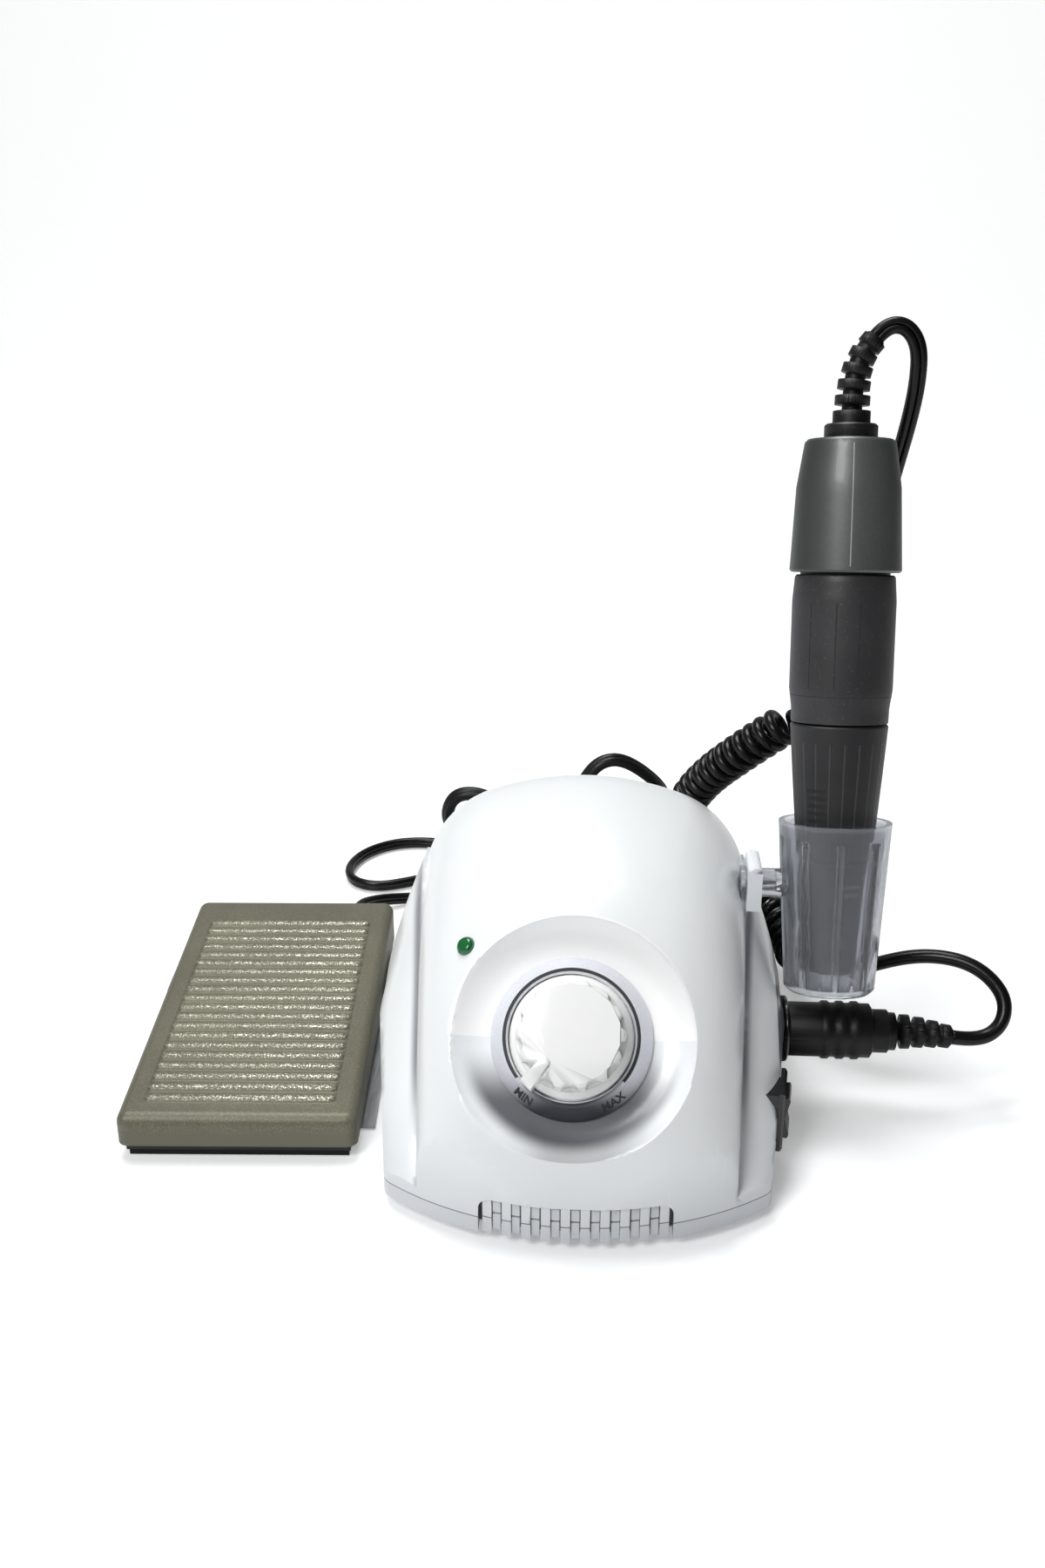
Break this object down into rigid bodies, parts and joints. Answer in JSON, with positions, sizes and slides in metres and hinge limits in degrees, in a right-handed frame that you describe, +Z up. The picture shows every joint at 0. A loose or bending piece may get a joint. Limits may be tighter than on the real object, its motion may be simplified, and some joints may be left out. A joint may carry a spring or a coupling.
{
  "type": "benchtop micromotor set",
  "caption": "Control box with speed dial, electric handpiece in a tilting holder cup, curly cord and ribbed foot pedal.",
  "frame": {"origin": "centre of the footprint of the box, handpiece and pedal, on the table", "axes": "+Z up, +Y from the dial side to the rear, +X to the handpiece side"},
  "size_m": [0.2586, 0.2396, 0.2169],
  "materials": {
    "cover": "smooth white moulded case",
    "tray": "near white moulded tray",
    "black": "black moulded plastic",
    "gloss_black": "glossy black plastic",
    "knob": "white moulded knob",
    "bezel": "pale silver bezel",
    "rubber": "black rubber",
    "steel": "bright steel",
    "gunmetal": "satin grey metallic",
    "charcoal": "charcoal moulded body",
    "clear": "frosted clear plastic",
    "pale": "pale clip",
    "lamp": "green lens",
    "board": "green board",
    "sink": "plain metal",
    "iron": "laminations",
    "winding": "taped winding",
    "brass": "plain",
    "olive": "olive grey metallic paint",
    "cord": "black cord jacket",
    "mesh": "pale grey screen"
  },
  "bodies": {
    "console": {"top_cover": "cover", "base_tray": "tray", "vent_screen": "mesh", "rubber_feet": "rubber", "case_screws": "steel", "dial_bezel": "bezel", "potentiometer": "steel", "dial_nut": "steel", "power_lamp": "lamp", "circuit_board": "board", "capacitors": "black", "heat_sink": "sink", "power_transistor": "black", "transformer_core": "iron", "transformer_winding": "winding", "handpiece_socket": "gloss_black", "direction_switch": "gloss_black", "power_switch": "gloss_black", "fuse_holder": "black", "pedal_jack": "black", "mains_gland": "black", "holder_clip": "pale", "pedal_base": "sink", "pedal_pad": "rubber", "hinge_pin": "steel", "pedal_springs": "steel", "pedal_switch": "black", "pedal_gland": "black", "handpiece_cord_curl": "cord", "handpiece_cord_lower": "cord", "handpiece_plug": "rubber", "pedal_cord": "cord", "pedal_plug": "rubber", "mains_cord": "cord", "mains_coil": "cord", "mains_plug": "rubber", "cord_tie": "black"},
    "knob": {"speed_knob": "knob", "dial_shaft": "steel"},
    "direction_rocker": {"direction_rocker": "gloss_black"},
    "power_rocker": {"power_rocker": "gloss_black"},
    "cup": {"holder_cup": "clear"},
    "handpiece": {"tail_cap": "gunmetal", "tail_collar": "black", "cord_relief": "rubber", "motor_housing": "charcoal", "nose_cone": "charcoal", "end_bell": "black", "rear_bearing": "steel", "front_bearing": "steel", "motor_magnets": "iron", "brushes": "black", "handpiece_cord_upper": "cord"},
    "sleeve": {"chuck_sleeve": "charcoal"},
    "spindle": {"spindle": "steel", "rotor": "iron", "commutator": "brass", "collet": "steel"},
    "treadle": {"treadle": "olive"}
  },
  "joints": [
    {"name": "speed_turn", "type": "hinge", "parent": "console", "child": "knob", "pos_m": [0.02326, -0.05838, 0.0492], "axis": [0, 0.7986, -0.6018], "range_deg": [0, 278]},
    {"name": "direction_rock", "type": "hinge", "parent": "console", "child": "direction_rocker", "pos_m": [0.07896, -0.04258, 0.0188], "axis": [0.1393, 0.9903, 0], "range_deg": [-8, 8]},
    {"name": "power_rock", "type": "hinge", "parent": "console", "child": "power_rocker", "pos_m": [-0.00284, 0.06342, 0.033], "axis": [1, 0, 0], "range_deg": [0, 16]},
    {"name": "holder_tilt", "type": "hinge", "parent": "console", "child": "cup", "pos_m": [0.09416, -0.00786, 0.06973], "axis": [1, 0, 0], "range_deg": [-15, 20]},
    {"name": "handpiece_lift", "type": "slide", "parent": "cup", "child": "handpiece", "axis": [0, 0.2672, 0.9636], "range_m": [0, 0.055]},
    {"name": "chuck_twist", "type": "hinge", "parent": "handpiece", "child": "sleeve", "pos_m": [0.09416, -0.00091, 0.09478], "axis": [0, 0.2672, 0.9636], "range_deg": [0, 35]},
    {"name": "spindle_spin", "type": "hinge", "parent": "handpiece", "child": "spindle", "pos_m": [0.09416, 0.01512, 0.1526], "axis": [0, 0.2672, 0.9636], "continuous": true},
    {"name": "treadle_press", "type": "hinge", "parent": "console", "child": "treadle", "pos_m": [-0.07333, 0.06432, 0.0086], "axis": [0.9991, 0.0419, 0], "range_deg": [0, 1.8], "stiffness_Nm_per_rad": 16, "springref_deg": -1.08, "deforming": ["pedal_springs"]}
  ]
}
